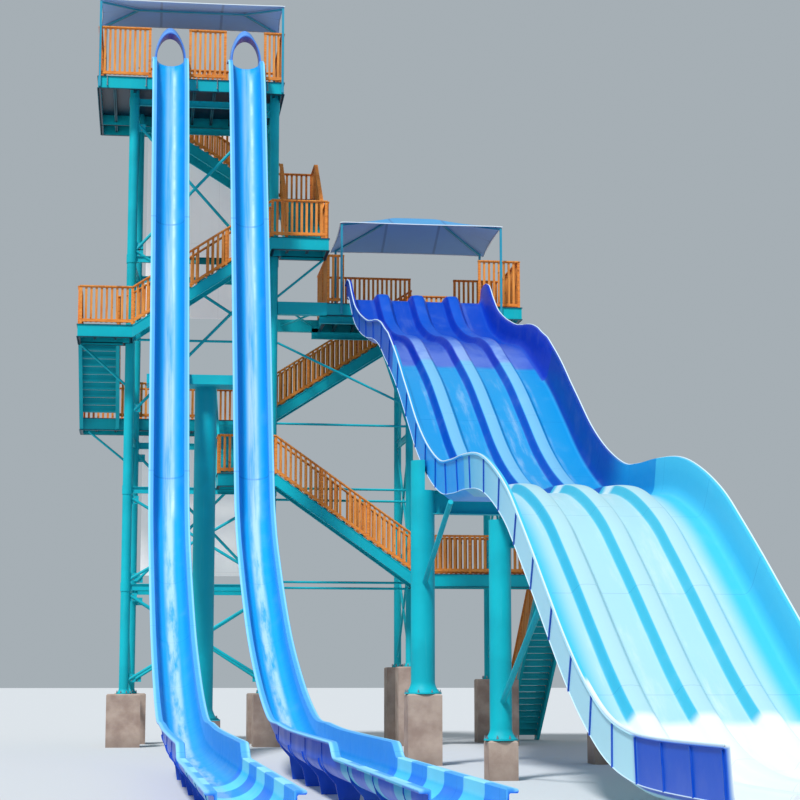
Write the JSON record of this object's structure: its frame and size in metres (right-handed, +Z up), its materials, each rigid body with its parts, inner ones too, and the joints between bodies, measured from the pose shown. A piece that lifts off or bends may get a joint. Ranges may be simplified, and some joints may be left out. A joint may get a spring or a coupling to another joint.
{
  "type": "water slide tower",
  "caption": "Stair tower for a water park with steep open speed slides, a wide humped racer slide in lanes, railed decks and flights, and cloth canopies over the starts.",
  "frame": {"origin": "centre of the underside of the front left tower column's plinth, on the ground", "axes": "+X to the right along the tower front, +Y to the back of the tower, away from the slides, +Z up"},
  "size_m": [13.7, 40.4602, 20.52],
  "materials": {
    "frame_steel": "teal paint on steel, concrete plinths",
    "stair_steel": "teal paint on stringers, timber treads",
    "deck_timber": "boards on teal painted beams",
    "rail_timber": "stained",
    "screen_sheet": "ribbed sheet",
    "canopy_cloth": "stretched cloth",
    "canopy_steel": "galvanised",
    "hood_blue": "glossy gel coat",
    "speed_chute": "glossy gel coat",
    "speed_catch": "glossy gel coat",
    "speed_runout": "glossy gel coat in two tones",
    "racer_top": "glossy gel coat",
    "racer_middle": "glossy gel coat",
    "racer_lower": "glossy gel coat"
  },
  "bodies": {
    "root": {"front_flight": "stair_steel", "ground_flight": "stair_steel", "inner_flight": "stair_steel", "left_flight": "stair_steel", "left_inner_railing": "rail_timber", "left_landing": "deck_timber", "left_outer_railing": "rail_timber", "lower_back_railing": "rail_timber", "lower_flight": "stair_steel", "lower_front_railing": "rail_timber", "lower_inner_railing": "rail_timber", "lower_landing": "deck_timber", "middle_landing": "deck_timber", "platform_left_frame": "frame_steel", "platform_right_frame": "frame_steel", "racer_bed_lower": "racer_lower", "racer_bed_middle": "racer_middle", "racer_bed_top": "racer_top", "racer_canopy": "canopy_cloth", "racer_canopy_frame": "canopy_steel", "racer_deck": "deck_timber", "racer_flight": "stair_steel", "racer_flight_railing": "rail_timber", "racer_left_railing": "rail_timber", "racer_lower_bent": "frame_steel", "racer_right_railing": "rail_timber", "racer_upper_bent": "frame_steel", "rear_lower_screen": "screen_sheet", "rear_railing": "rail_timber", "rear_upper_screen": "screen_sheet", "rear_walkway": "deck_timber", "right_flight": "stair_steel", "right_inner_railing": "rail_timber", "right_landing": "deck_timber", "right_outer_railing": "rail_timber", "slide_support_column": "frame_steel", "speed_left_catch": "speed_catch", "speed_left_chute": "speed_chute", "speed_left_hood": "hood_blue", "speed_left_runout": "speed_runout", "speed_right_catch": "speed_catch", "speed_right_chute": "speed_chute", "speed_right_hood": "hood_blue", "speed_right_runout": "speed_runout", "top_canopy": "canopy_cloth", "top_canopy_frame": "canopy_steel", "top_deck": "deck_timber", "top_flight": "stair_steel", "top_left_railing": "rail_timber", "top_middle_railing": "rail_timber", "top_rear_railing": "rail_timber", "top_right_railing": "rail_timber", "tower_front_frame": "frame_steel", "tower_left_braces": "frame_steel", "tower_rear_frame": "frame_steel", "tower_right_braces": "frame_steel", "upper_front_railing": "rail_timber", "upper_inner_railing": "rail_timber", "upper_rear_landing": "deck_timber"}
  },
  "joints": []
}
